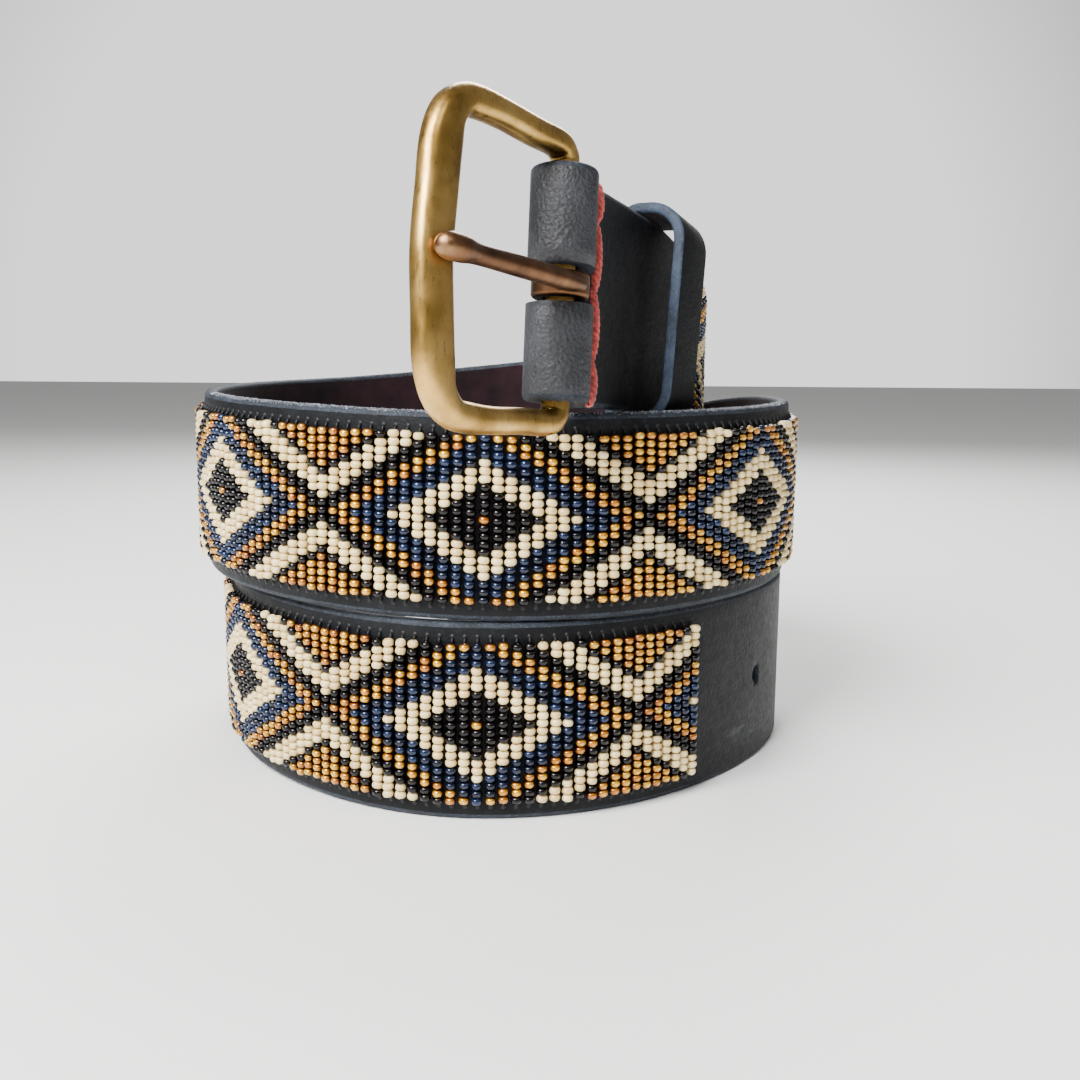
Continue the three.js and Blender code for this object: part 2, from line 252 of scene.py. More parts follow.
# %% Material helpers
def colour(text):
    parts = [int(text[i:i + 2], 16) / 255 for i in (1, 3, 5)]
    return tuple(c / 12.92 if c <= 0.04045 else ((c + 0.055) / 1.055) ** 2.4 for c in parts) + (1.0,)


def per(size):
    """The texture scale at which one feature is this many millimetres."""
    return 1 / (size * MM)


def add(material, kind, inputs=None, **settings):
    node = material.node_tree.nodes.new(kind)
    for key, value in settings.items():
        setattr(node, key, value)
    for key, value in (inputs or {}).items():
        if isinstance(value, bpy.types.NodeSocket):
            material.node_tree.links.new(value, node.inputs[key])
        else:
            node.inputs[key].default_value = value
    return node


def surface(name, **values):
    material = bpy.data.materials.new(name)
    material.use_nodes = True
    shader = material.node_tree.nodes["Principled BSDF"]
    for key, value in values.items():
        shader.inputs[key.title()].default_value = value
    return material, shader


def wire(material, output, socket):
    material.node_tree.links.new(output, socket)


def object_noise(m, size, detail=4.0, roughness=0.55, stretch=None):
    where = add(m, "ShaderNodeTexCoord").outputs["Object"]
    if stretch:
        where = add(m, "ShaderNodeMapping", {"Vector": where, "Scale": stretch}).outputs["Vector"]
    inputs = {"Vector": where, "Scale": per(size), "Detail": detail, "Roughness": roughness}
    return add(m, "ShaderNodeTexNoise", inputs).outputs["Fac"]


def ramp(m, factor, *stops):
    node = add(m, "ShaderNodeValToRGB", {"Fac": factor})
    elements = node.color_ramp.elements
    while len(elements) < len(stops):
        elements.new(0.5)
    for element, (position, value) in zip(elements, stops):
        element.position = position
        element.color = colour(value) if isinstance(value, str) else (value, value, value, 1)
    return node.outputs["Color"]


def mix(m, factor, a, b, blend="MIX"):
    node = add(m, "ShaderNodeMix", data_type="RGBA", blend_type=blend)
    for socket, value in ((node.inputs[0], factor), (node.inputs[6], a), (node.inputs[7], b)):
        if isinstance(value, bpy.types.NodeSocket):
            m.node_tree.links.new(value, socket)
        else:
            socket.default_value = value
    return node.outputs[2]


def bump(m, height, depth, strength=1.0, normal=None):
    inputs = {"Height": height, "Distance": depth * MM, "Strength": strength}
    if normal:
        inputs["Normal"] = normal
    return add(m, "ShaderNodeBump", inputs).outputs["Normal"]


print("middle grey as a linear value:", round(colour("#808080")[0], 3))

# %% [markdown]
# ## Leather
# Dyed cowhide isn't one black. The grain side is a charcoal with fine pores and a faint lengthwise
# cloudiness, the cut edge is rubbed grey and its bluish tint is a painted sheen, and the flesh side inside is
# a napped brown. Pores come from small cells, creases from noise.

# %% Leather materials
def grain_leather(name, dark, light, worn, specular, relief):
    m, shader = surface(name, roughness=0.5)
    shader.inputs["Specular IOR Level"].default_value = specular
    pores = add(m, "ShaderNodeTexVoronoi", {
        "Vector": add(m, "ShaderNodeTexCoord").outputs["Object"], "Scale": per(0.7), "Randomness": 1.0})
    clouds = object_noise(m, 9, 5)
    fine = object_noise(m, 1.6, 6, 0.65)
    base = ramp(m, clouds, (0.32, dark), (0.68, light))
    rubbed = ramp(m, fine, (0.55, 0.0), (0.8, 0.5))
    rim = add(m, "ShaderNodeAttribute", attribute_name="rim").outputs["Fac"]
    edge_wear = add(m, "ShaderNodeMath", {0: rim, 1: rubbed}, operation="MULTIPLY").outputs[0]
    base = mix(m, edge_wear, base, colour(worn))
    scuff = add(m, "ShaderNodeAttribute", attribute_name="scuff").outputs["Fac"]
    scratches = ramp(m, object_noise(m, 5.5, 7, 0.7, (0.5, 0.5, 2.6)), (0.5, 0.0), (0.72, 1.0))
    pale = add(m, "ShaderNodeMath", {0: scuff, 1: scratches}, operation="MULTIPLY").outputs[0]
    wire(m, mix(m, pale, base, colour("#8e9298")), shader.inputs["Base Color"])
    wire(m, ramp(m, fine, (0.3, 0.42), (0.75, 0.62)), shader.inputs["Roughness"])
    creases = bump(m, clouds, 0.4, 0.6)
    pebbles = bump(m, object_noise(m, 0.75, 3, 0.6), 0.22 * relief, 0.75, creases)
    wire(m, bump(m, pores.outputs["Distance"], 0.12 * relief, 0.7, pebbles),
         shader.inputs["Normal"])
    return m


def worn_edge_and_sheen(name, dark, light):
    # Rubbed edge wear, in bluish greys that are partly a painted sheen of light on the edge.
    m, shader = surface(name, roughness=0.68)
    shader.inputs["Specular IOR Level"].default_value = 0.3
    fibres = object_noise(m, 0.5, 6, 0.7)
    patches = object_noise(m, 5, 4)
    base = mix(m, ramp(m, patches, (0.35, 0.15), (0.7, 0.85)), colour(dark), colour(light))
    base = mix(m, ramp(m, fibres, (0.5, 0.0), (0.75, 0.6)), base, colour("#59616d"))
    wire(m, base, shader.inputs["Base Color"])
    wire(m, bump(m, fibres, 0.15, 0.8), shader.inputs["Normal"])
    return m


def suede(name, dark, light):
    m, shader = surface(name, roughness=0.85)
    shader.inputs["Sheen Weight"].default_value = 0.05
    shader.inputs["Specular IOR Level"].default_value = 0.15
    nap = object_noise(m, 0.45, 6, 0.7)
    wire(m, ramp(m, object_noise(m, 7, 5), (0.3, dark), (0.7, light)), shader.inputs["Base Color"])
    wire(m, bump(m, nap, 0.18, 0.8), shader.inputs["Normal"])
    return m


leather_grain = grain_leather("black_dyed_cowhide_satin", "#07080a", "#131417", "#39414c", 0.16, 0.6)
# Painted light: the fold's grain gets lighter colours that stand in for the light falling on the fold; its
# deeper creases are real relief.
leather_fold_painted_lit = grain_leather("black_cowhide_creased_painted_lit", "#17181b", "#33353a", "#5a6474", 0.45, 1.7)
# The edges' bluish greys are partly rubbed wear and partly painted sheen.
leather_edge = worn_edge_and_sheen("burnished_leather_edge_worn_painted_sheen", "#101216", "#2a313b")
keeper_edge = worn_edge_and_sheen("keeper_leather_edge_rubbed_painted_sheen", "#141a24", "#3c4a5e")
leather_flesh = suede("brown_leather_flesh_napped", "#12080b", "#27141a")
print("leather finishes: 5")

# %% [markdown]
# ## Strap
# The strap is one hide from the flap behind the bar, round the bar, and along the whole roll. Its outline is
# a rounded bar, 40 by 3 mm. Face by face it gets the grain, the rubbed edge with its painted sheen or the
# napped inside, and round the fold a lighter grain whose lightness is painted light.

# %% Strap
def layer_offset(length):
    share = min(max(length / NECK_LENGTH, 0), 1)
    wrap = BAR_RADIUS + BAR_CLEARANCE + STRAP_THICKNESS / 2
    return wrap + (CLOSED_OFFSET - wrap) * share * share * (3 - 2 * share)


def half_width(length):
    past = max(0.0, length - (STRAP_LENGTH - TIP_LENGTH)) / TIP_LENGTH * TIP_BLUNTNESS
    return STRAP_WIDTH / 2 * math.sqrt(1 - past * past)


def main_section(length, side=1):
    along, out, across = directions_at(length)
    lean = (layer_offset(length + 0.01) - layer_offset(max(length - 0.01, 0))) / 0.02
    middle = line_at(length) + out * (side * layer_offset(length) - CLOSED_OFFSET)
    return middle, unit(out * side - along * lean), across, length * side


def wrap_section(angle):
    grain = bar_along * math.cos(angle) + bar_out * math.sin(angle)
    reach = BAR_RADIUS + BAR_CLEARANCE + STRAP_THICKNESS / 2
    return bar_centre + grain * reach, grain, bar_across, 0.0


FACE_STEPS = 12
CORNER_STEPS = 5
EDGE_ROUND = 1.1
EDGE_SWELL = 0.12


def strap_outline(half):
    """Corners (through, across) of the strap's section."""
    thick = STRAP_THICKNESS / 2 - EDGE_ROUND
    wide = half - EDGE_ROUND
    outline = []
    for start, (u, v) in ((0, (thick, wide)), (90, (-thick, wide)),
                          (180, (-thick, -wide)), (270, (thick, -wide))):
        for k in range(CORNER_STEPS):
            angle = math.radians(start + 90 * k / (CORNER_STEPS - 1))
            outline.append((u + EDGE_ROUND * math.cos(angle), v + EDGE_ROUND * math.sin(angle)))
        if start == 90 or start == 270:
            sign = 1 if start == 90 else -1
            for k in range(1, FACE_STEPS):
                across = sign * wide * (1 - 2 * k / FACE_STEPS)
                outline.append((-sign * STRAP_THICKNESS / 2, across))
    return outline


flap_lengths = np.linspace(FLAP_LENGTH, 0, 30)
main_lengths = np.concatenate([np.linspace(0, NECK_LENGTH, 14)[:-1],
                               np.arange(NECK_LENGTH, STRAP_LENGTH - TIP_LENGTH, 1.5),
                               STRAP_LENGTH - TIP_LENGTH * (1 - np.sin(np.linspace(0, math.pi / 2, 26)))])
sections = [main_section(length, -1) for length in flap_lengths]
sections += [wrap_section(angle) for angle in np.linspace(-math.pi / 2, -1.5 * math.pi, 28)[1:-1]]
sections += [main_section(length) for length in main_lengths]
print("strap sections:", len(sections))

# %% [markdown]
# ### Skin of the strap
# The cut edge is a little ragged. Two values are kept at every point for the finish to read: how near it
# lies to the edge, where the dye rubs off, and how much it has of the pale scuff on the plain end.

# %% Strap's skin
EDGE_BAND = 2.0
RAGGED_DEPTH = 0.08
RIM_REACH = 3.0
SCUFF_STRENGTH = 0.4
SCUFF_MIDDLE = (length_at_turn(771), -12.5)
SCUFF_REACH = (9.0, 3.2)
strap_points, rims, scuffs = [], [], []
for middle, grain, across, length in sections:
    half = half_width(abs(length)) if length >= 0 else STRAP_WIDTH / 2
    for through, sideways in strap_outline(half):
        unevenness = noise.noise(Vector((length * 0.45, sideways, through)))
        ragged = RAGGED_DEPTH * unevenness * (abs(sideways) > half - EDGE_BAND) * np.sign(sideways)
        swell = EDGE_SWELL * (sideways > half - EDGE_BAND)
        strap_points.append(middle + grain * through + across * (sideways + ragged + swell))
        rims.append(max(0.0, 1 - (half - abs(sideways)) / RIM_REACH))
        away = math.hypot((length - SCUFF_MIDDLE[0]) / SCUFF_REACH[0],
                          (sideways - SCUFF_MIDDLE[1]) / SCUFF_REACH[1])
        scuffs.append(SCUFF_STRENGTH * math.exp(-away ** 2))

outline = strap_outline(STRAP_WIDTH / 2)
corners = len(outline)
strap_faces = ring_faces(len(sections), corners, closed=False)
kinds = []
for j in range(corners):
    here, after = outline[j], outline[(j + 1) % corners]
    flat = abs(here[0] - after[0]) < 1e-6 and abs(abs(here[0]) - STRAP_THICKNESS / 2) < 1e-6
    kinds.append((0 if here[0] > 0 else 2) if flat else 1)
strap_kinds = kinds * (len(sections) - 1) + [1, 1]
fold_rings = sum(1 for s in sections if s[3] <= NECK_LENGTH)
# The fold's grain faces get the lighter copy with painted light.
strap_kinds = [3 if kind == 0 and i < fold_rings * corners else kind for i, kind in enumerate(strap_kinds)]
strap = new_object("strap_leather", strap_points, strap_faces,
                   [leather_grain, leather_edge, leather_flesh, leather_fold_painted_lit], strap_kinds)
for title, values in (("rim", rims), ("scuff", scuffs)):
    strap.data.attributes.new(title, "FLOAT", "POINT").data.foreach_set("value", values)
face_outwards(strap)
print("strap:", len(strap.data.polygons), "faces")

# %% [markdown]
# ## Frayed edge
# Along the upper turn the top cut edge has lost its burnish, and grey fibres of the hide stand up. Each is a
# thin bent thorn, and they are thick on the ground, so together they read as fuzz. Their pale grey is partly
# painted light, the top edge catching the light from above.

# %% Frayed edge
# Painted light: the fibres' pale grey stands partly for light from above on the top edge, partly for bare
# fibre.
frayed_fibre_painted_lit, fibre_shader = surface("grey_frayed_hide_fibre_painted_lit", roughness=0.9)
wire(frayed_fibre_painted_lit, ramp(frayed_fibre_painted_lit, object_noise(frayed_fibre_painted_lit, 1.5), (0.3, "#6c717c"), (0.7, "#c3c8d2")),
     fibre_shader.inputs["Base Color"])
FIBRE_COUNT = 3600
fray_from, fray_to = length_at_turn(295), length_at_turn(425)
fibre_points, fibre_faces = [], []
for _ in range(FIBRE_COUNT):
    length = rng.uniform(fray_from, fray_to)
    across_from = rng.uniform(-1.1, 1.2)
    lean_along, lean_out = rng.gauss(0, 0.3), rng.gauss(0.05, 0.2)
    tall = rng.uniform(0.15, 0.5)
    start = len(fibre_points)
    foot = STRAP_WIDTH / 2 - 0.08 - 0.25 * across_from ** 2 / 1.44
    for rise, width in ((0.0, 0.09), (0.6, 0.06)):
        for a in (0, 2.1, 4.2):
            fibre_points.append(place(length + lean_along * rise + width * math.cos(a),
                                      across_from + lean_out * rise + width * math.sin(a),
                                      foot + tall * rise))
    fibre_points.append(place(length + lean_along * 1.4, across_from + lean_out * 1.5, foot + tall))
    for j in range(3):
        k = (j + 1) % 3
        fibre_faces.append((start + j, start + k, start + 3 + k, start + 3 + j))
        fibre_faces.append((start + 3 + j, start + 3 + k, start + 6))
    fibre_faces.append((start + 2, start + 1, start))
fibres = new_object("edge_fibres_painted_lit", fibre_points, fibre_faces, [frayed_fibre_painted_lit])
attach(fibres, "belt")
print("fibres:", FIBRE_COUNT)

# %% [markdown]
# ## Slot and holes
# The slot lets the pin through the fold, and the holes take the pin when the belt is worn. Both are punched
# right through, so light shows in them.

# %% Punching
beads_end = length_at_turn(DIAMOND_TURN) + (COLUMNS_AFTER + 0.5) * BEAD_PITCH


def tool_points(points, origin, along, out, across):
    return [origin + out * p[0] + along * p[1] + across * p[2] for p in points]


box_corners = [(x, y, z) for x in (-9, 9) for y in (-SLOT_FRONT, SLOT_REACH)
               for z in (-SLOT_WIDTH / 2, SLOT_WIDTH / 2)]
cutter_points = tool_points(box_corners, bar_centre, bar_along, bar_out, bar_across)
cutter_faces = [(0, 1, 3, 2), (4, 6, 7, 5), (0, 4, 5, 1), (2, 3, 7, 6), (0, 2, 6, 4), (1, 5, 7, 3)]
HOLE_SIDES = 32
for i in range(HOLE_COUNT):
    length = beads_end + FIRST_HOLE_FROM_BEADS + i * HOLE_SPACING
    along, out, across = directions_at(length)
    rings = [(x, HOLE_DIAMETER / 2 * math.cos(a), HOLE_DIAMETER / 2 * math.sin(a))
             for x in (-4, 4) for a in np.linspace(0, 2 * math.pi, HOLE_SIDES, endpoint=False)]
    start = len(cutter_points)
    cutter_points += tool_points(rings, line_at(length), along, out, across)
    cutter_faces += [tuple(start + k for k in face) for face in ring_faces(2, HOLE_SIDES, False)]
cutter = new_object("punch", cutter_points, cutter_faces, [leather_edge], sharp=True)
face_outwards(cutter)
punch = strap.modifiers.new("punched", "BOOLEAN")
punch.object = cutter
punch.operation = "DIFFERENCE"
punch.solver = "EXACT"
punch.material_mode = "TRANSFER"
punched = bpy.data.meshes.new_from_object(strap.evaluated_get(bpy.context.evaluated_depsgraph_get()))
strap.modifiers.clear()
strap.data = punched
bpy.data.objects.remove(cutter)
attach(strap, "belt")
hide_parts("strap")
print("strap after punching:", len(punched.polygons), "faces")

# %% [markdown]
# ## Glass beads
# Seed beads are short barrels broken from a glass tube, so they are never quite alike. Each is a small ring
# with its own slight tilt and size, and its colour varies a little. Ivory is pearly, black is plain gloss,
# blue has a metallic lustre, and gold is clear amber, silver-lined, with the glint of its silver painted
# bright where it faces out and painted shade at its sides.

# %% Bead materials
def coated_glass(name, rough, metallic, coat, specular=0.5):
    m, shader = surface(name, roughness=rough, metallic=metallic)
    shader.inputs["Coat Weight"].default_value = coat
    shader.inputs["Coat Roughness"].default_value = 0.06
    shader.inputs["Specular IOR Level"].default_value = specular
    wire(m, bump(m, object_noise(m, 0.6, 2), 0.03, 0.4), shader.inputs["Normal"])
    shade = add(m, "ShaderNodeAttribute", attribute_name="shade").outputs["Fac"]
    return m, shader, shade


def bead_glass(name, dark, light, *finish):
    m, shader, shade = coated_glass(name, *finish)
    wire(m, ramp(m, shade, (0.0, dark), (1.0, light)), shader.inputs["Base Color"])
    return m


def lined_glass(name, side, body, painted_glint_core):
    """Clear glass, silver-lined, with painted light: a painted glint where the bead faces out, painted shade
    at its sides.
    """
    m, shader, shade = coated_glass(name, 0.2, 0.55, 0.7)
    lining_painted_glint = add(m, "ShaderNodeAttribute", attribute_name="lining_painted_glint").outputs["Fac"]
    # Painted glint and shade: points that face out are painted bright, the sides painted dark.
    depth = ramp(m, lining_painted_glint, (0.05, side), (0.45, body), (0.95, painted_glint_core))
    tint = ramp(m, shade, (0.0, "#c89a45"), (0.5, "#f6e6bd"), (1.0, "#ffffff"))
    wire(m, mix(m, 1.0, depth, tint, "MULTIPLY"), shader.inputs["Base Color"])
    return m


BEADS = {
    "ivory": bead_glass("ivory_lustre_glass", "#dcbd80", "#f4dfa6", 0.26, 0.0, 0.4),
    "black": bead_glass("black_opaque_glass_polished", "#020101", "#0b0506", 0.15, 0.0, 0.12, 0.3),
    "blue": bead_glass("dark_blue_metallic_lustre_glass", "#060a17", "#1a2a4a", 0.2, 0.55, 0.4),
    # Gold: the side colour is painted shade, the core colour a painted glint.
    "gold": lined_glass("amber_silver_lined_glass_painted_glint", "#341c02", "#b97f0c", "#fbd24c"),
}
print("bead finishes:", list(BEADS))

# %% [markdown]
# ## The pattern
# The pattern is an old one, lozenges inside lozenges. Counted in beads from the nearest diamond's middle,
# along and across added together, the bands come one after another, so one rule colours the whole belt.

# %% Bead pattern
def bead_colour(column, row):
    apart = column % DIAMOND_REPEAT
    steps = min(apart, DIAMOND_REPEAT - apart) + abs(row)
    for limit, name in ((0, "gold"), (4, "black"), (7, "ivory"), (10, "blue"), (12, "gold"),
                        (14, "black"), (17, "ivory"), (18, "black")):
        if steps <= limit:
            return name
    return "gold"


print("from a diamond's middle:", [bead_colour(0, row) for row in range(0, ROWS_EACH_SIDE + 1, 2)])

# %% [markdown]
# ### One bead
# A bead is a short barrel with a hole. One is drawn as a profile turned round its hole, and all the others
# are copies of it. How far each of its points faces outwards is kept for the gold beads, whose silver is
# painted as a bright glint facing out and painted shade at the sides.

# %% Bead shape
SIDES = 8
PROFILE = [(0.34, -0.42), (0.68, -0.7), (1.03, -0.46), (1.18, 0.0),
           (1.03, 0.46), (0.68, 0.7), (0.34, 0.42)]
template = np.array([(r * math.cos(a), r * math.sin(a), z) for r, z in PROFILE
                     for a in np.linspace(0, 2 * math.pi, SIDES, endpoint=False)])
# How far each point faces out, used for the gold beads' painted glint and painted shade.
outward = np.clip(template[:, 1] / template[:, 1].max(), 0, 1) ** 2
template_faces = np.array([(i * SIDES + j, i * SIDES + (j + 1) % SIDES,
                            (i + 1) % len(PROFILE) * SIDES + (j + 1) % SIDES,
                            (i + 1) % len(PROFILE) * SIDES + j)
                           for i in range(len(PROFILE)) for j in range(SIDES)])
print("one bead:", len(template), "points,", len(template_faces), "faces")

# %% [markdown]
# ### Beads in their columns
# Beads strung by hand stand in columns, each column a little higher or lower than the last, and each bead a
# little tilted. They are joined in one mesh for each colour and stretch of the strap.

# %% Stringing
BEAD_SINK = 0.05
STRETCHES = (("start", 250.0), ("upper", 560.0), ("lower", STRAP_LENGTH))
groups = {}
diamond_length = length_at_turn(DIAMOND_TURN)
for column in range(-COLUMNS_BEFORE, COLUMNS_AFTER + 1):
    length = diamond_length + column * BEAD_PITCH
    stretch = next(name for name, limit in STRETCHES if length < limit)
    along, out, across = directions_at(length)
    base = line_at(length) + out * (STRAP_THICKNESS / 2 + BEAD_SEAT + BEAD_HEIGHT / 2 - BEAD_SINK)
    sway = rng.uniform(-0.1, 0.1)
    step = rng.uniform(-0.3, 0.3)
    for row in range(-ROWS_EACH_SIDE, ROWS_EACH_SIDE + 1):
        lean = (rng.gauss(0, 0.07), rng.gauss(0, 0.07))
        hole = unit(across + along * lean[0] + out * lean[1])
        aside = unit(np.cross(hole, out))
        size = rng.gauss(1.0, 0.035)
        drift = along * (sway + rng.uniform(-0.07, 0.07)) + out * rng.uniform(-0.06, 0.06)
        centre = base + across * (row * ROW_PITCH + step) + drift
        axes = np.array([aside * size * 0.99, unit(np.cross(aside, hole)) * size * 0.94,
                         hole * rng.gauss(1.04, 0.03)])
        key = (bead_colour(column, row), stretch)
        groups.setdefault(key, []).append((centre + template @ axes, rng.random()))

bead_total = 0
for (name, stretch), beads in sorted(groups.items()):
    points = np.concatenate([b[0] for b in beads])
    faces = np.concatenate([template_faces + i * len(template) for i in range(len(beads))]).tolist()
    piece = new_object(f"beads_{name}_{stretch}", points, faces, [BEADS[name]])
    shades = np.repeat([b[1] for b in beads], len(template))
    lining_painted_glint = np.tile(outward, len(beads))
    for title, values in (("shade", shades), ("lining_painted_glint", lining_painted_glint)):
        piece.data.attributes.new(title, "FLOAT", "POINT").data.foreach_set("value", values)
    face_outwards(piece)
    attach(piece, "belt")
    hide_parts("beadwork")
    bead_total += len(beads)
print("beads:", bead_total, "in", len(groups), "pieces")

# %% [markdown]
# ## Threads of the beadwork
# Every column hangs on its own thread, which dives into the leather just past the last bead. A small dark
# arch at each end of the column is all that shows of it.

# %% Column threads
def tube(path, radius, sides=6):
    """Points and faces of a round tube along a path, closed at its ends."""
    path = np.array(path)
    runs = np.gradient(path, axis=0)
    points = []
    for p, run in zip(path, runs):
        run = unit(run)
        first = unit(np.cross(run, (0.31, 0.2, 0.93)))
        second = np.cross(run, first)
        points += [p + radius * (first * math.cos(a) + second * math.sin(a))
                   for a in np.linspace(0, 2 * math.pi, sides, endpoint=False)]
    return points, ring_faces(len(path), sides, False)


def join_tubes(name, tubes, materials):
    points, faces = [], []
    for tube_points, tube_faces in tubes:
        faces += [tuple(len(points) + k for k in face) for face in tube_faces]
        points += tube_points
    return new_object(name, points, faces, materials)


black_thread, thread_shader = surface("black_waxed_thread", roughness=0.6)
wire(black_thread, ramp(black_thread, object_noise(black_thread, 0.8), (0.3, "#050506"), (0.7, "#141316")),
     thread_shader.inputs["Base Color"])
arches = []
for column in range(-COLUMNS_BEFORE, COLUMNS_AFTER + 1):
    length = diamond_length + column * BEAD_PITCH
    for sign in (-1, 1):
        edge = sign * (ROWS_EACH_SIDE + 0.5) * ROW_PITCH
        arch = [(2.1, -0.2), (1.85, 0.4), (1.4, 0.9)]
        arches.append(tube([place(length, height, edge + sign * reach) for height, reach in arch], 0.22))
        dot = [(1.35, 1.0), (1.56, 1.0)]
        arches.append(tube([place(length, height, edge + sign * reach) for height, reach in dot], 0.5, 8))
threads = join_tubes("bead_thread_ends", arches, [black_thread])
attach(threads, "belt")
print("thread ends:", len(arches) // 2)

# %% [markdown]
# ## The seam
# The fold is closed by a red cord in long stitches. A cord is three yarns laid round each other, and each
# stitch is pulled down at both ends, so it is highest in its middle.

# %% Seam cord
red_cord, cord_shader = surface("red_twisted_cotton_cord", roughness=0.75)
wire(red_cord, ramp(red_cord, object_noise(red_cord, 1.2, 5), (0.3, "#741a1a"), (0.7, "#c8473d")),
     cord_shader.inputs["Base Color"])
cord_shader.inputs["Sheen Weight"].default_value = 0.3
wire(red_cord, bump(red_cord, object_noise(red_cord, 0.25, 4), 0.12, 0.9), cord_shader.inputs["Normal"])

SEAM_AT = 9.4
STITCH_ENDS = (19.7, 12.8, 0.6, -11.8, -19.7)
YARNS = 3
LAY_LENGTH = 3.6
yarns = []
for top, bottom in zip(STITCH_ENDS, STITCH_ENDS[1:]):
    steps = max(16, int((top - bottom) * 5))
    for yarn in range(YARNS):
        path = []
        for u in np.linspace(0, 1, steps):
            across = top + (bottom - top) * u
            lift = STRAP_THICKNESS / 2 + 0.95 * math.sin(math.pi * u) ** 0.35
            twist = 2 * math.pi * (across / LAY_LENGTH + yarn / YARNS)
            spread = 0.62 * (0.35 + 0.65 * math.sin(math.pi * u) ** 0.5)
            path.append(place(SEAM_AT + spread * math.cos(twist) + 0.8 * (u - 0.5),
                              lift + spread * math.sin(twist), across))
        yarns.append(tube(path, 0.46, 8))
seam = join_tubes("seam_cord", yarns, [red_cord])
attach(seam, "belt")
print("stitches:", len(STITCH_ENDS) - 1)

# %% [markdown]
# ## Keeper loop
# The keeper is a strip of the same hide bent round the strap. Its cut edges are rubbed pale and carry a
# painted bluish sheen, which is what the eye catches first.

# %% Keeper
def keeper_outline(steps=12):
    """Middle line of the keeper's wall, as (out, across, normal out, normal across)."""
    wall = KEEPER_WALL / 2
    back = -STRAP_THICKNESS / 2 - KEEPER_CLEARANCE - wall
    front = STRAP_THICKNESS / 2 + KEEPER_ROOM + wall
    half = STRAP_WIDTH / 2 + KEEPER_CLEARANCE + wall
    round_ = KEEPER_CORNER - wall
    bend = KEEPER_BEND - wall
    centres = ((front - bend, half - bend, bend), (back + round_, half - round_, round_),
               (back + round_, round_ - half, round_), (front - bend, bend - half, bend))
    path = []
    for quarter, (u, v, radius) in enumerate(centres):
        for k in range(steps + 1):
            angle = math.radians(90 * (quarter + k / steps))
            path.append((u + radius * math.cos(angle), v + radius * math.sin(angle),
                         math.cos(angle), math.sin(angle)))
    filled = []
    for here, after in zip(path, path[1:] + path[:1]):
        filled.append(here)
        gap = math.hypot(after[0] - here[0], after[1] - here[1])
        count = int(gap // 2)
        for k in range(1, count + 1):
            share = k / (count + 1)
            filled.append(tuple(a + (b - a) * share for a, b in zip(here, after)))
    return filled


def rounded_section(wide, thick, radius, steps=4):
    points = []
    for quarter, (a, t) in enumerate(((1, 1), (-1, 1), (-1, -1), (1, -1))):
        for k in range(steps + 1):
            angle = math.radians(90 * (quarter + k / steps))
            points.append((a * (wide - radius) + radius * math.cos(angle),
                           t * (thick - radius) + radius * math.sin(angle)))
    return points


keeper_path = keeper_outline()
print("keeper sections:", len(keeper_path))

# %% Keeper's skin
section = rounded_section(KEEPER_WIDTH / 2, KEEPER_WALL / 2, 0.7)
keeper_points = []
for u, v, nu, nv in keeper_path:
    for a, t in section:
        keeper_points.append(place(KEEPER_AT + a, u + nu * t, v + nv * t))
keeper_faces = ring_faces(len(keeper_path), len(section), True)
keeper_kinds = []
for j, here in enumerate(section):
    after = section[(j + 1) % len(section)]
    flat = abs(here[1] - after[1]) < 1e-6
    keeper_kinds.append((0 if here[1] > 0 else 2) if flat else 1)
keeper = new_object("keeper_leather", keeper_points, keeper_faces,
                    [leather_grain, keeper_edge, leather_flesh], keeper_kinds * len(keeper_path))
face_outwards(keeper)
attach(keeper, "belt")
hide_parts("keeper_loop")
print("keeper:", len(keeper.data.polygons), "faces")

# %% [markdown]
# ## Brass and bronze
# Old brass is yellow where fingers polish it and olive brown where they don't. The pin is a redder metal.

# %% Metals
def aged_metal(name, dark, middle, bright, rough):
    m, shader = surface(name, metallic=1.0, roughness=rough)
    broad = object_noise(m, 11, 5)
    scratched = object_noise(m, 0.9, 6, 0.7, (1, 1, 0.25))
    base = ramp(m, broad, (0.3, dark), (0.52, middle), (0.72, bright))
    wire(m, mix(m, ramp(m, scratched, (0.55, 0.0), (0.75, 0.35)), base, colour(dark)),
         shader.inputs["Base Color"])
    wire(m, ramp(m, scratched, (0.3, rough - 0.06), (0.75, rough + 0.14)), shader.inputs["Roughness"])
    wire(m, bump(m, scratched, 0.03, 0.6, bump(m, broad, 0.3, 0.35)), shader.inputs["Normal"])
    return m


brass = aged_metal("cast_brass_rubbed", "#86662c", "#cda45a", "#ecc67a", 0.3)
bronze = aged_metal("bronze_wire_brown", "#4a3020", "#76543a", "#9c7a58", 0.36)
print("metal finishes:", [m.name for m in (brass, bronze)])

# %% [markdown]
# ## Buckle frame and pin
# Both are cast or bent from round stock, so their outlines are smooth closed curves. The table of the model
# is refined by a smooth curve through its rows.

# %% Buckle's outline
swing = math.radians(BUCKLE_SWING)
buckle_along = bar_along * math.cos(swing) + bar_out * math.sin(swing)
buckle_out = bar_out * math.cos(swing) - bar_along * math.sin(swing)


def buckle_point(out, ahead, across):
    return bar_centre + buckle_out * out - buckle_along * ahead + bar_across * across


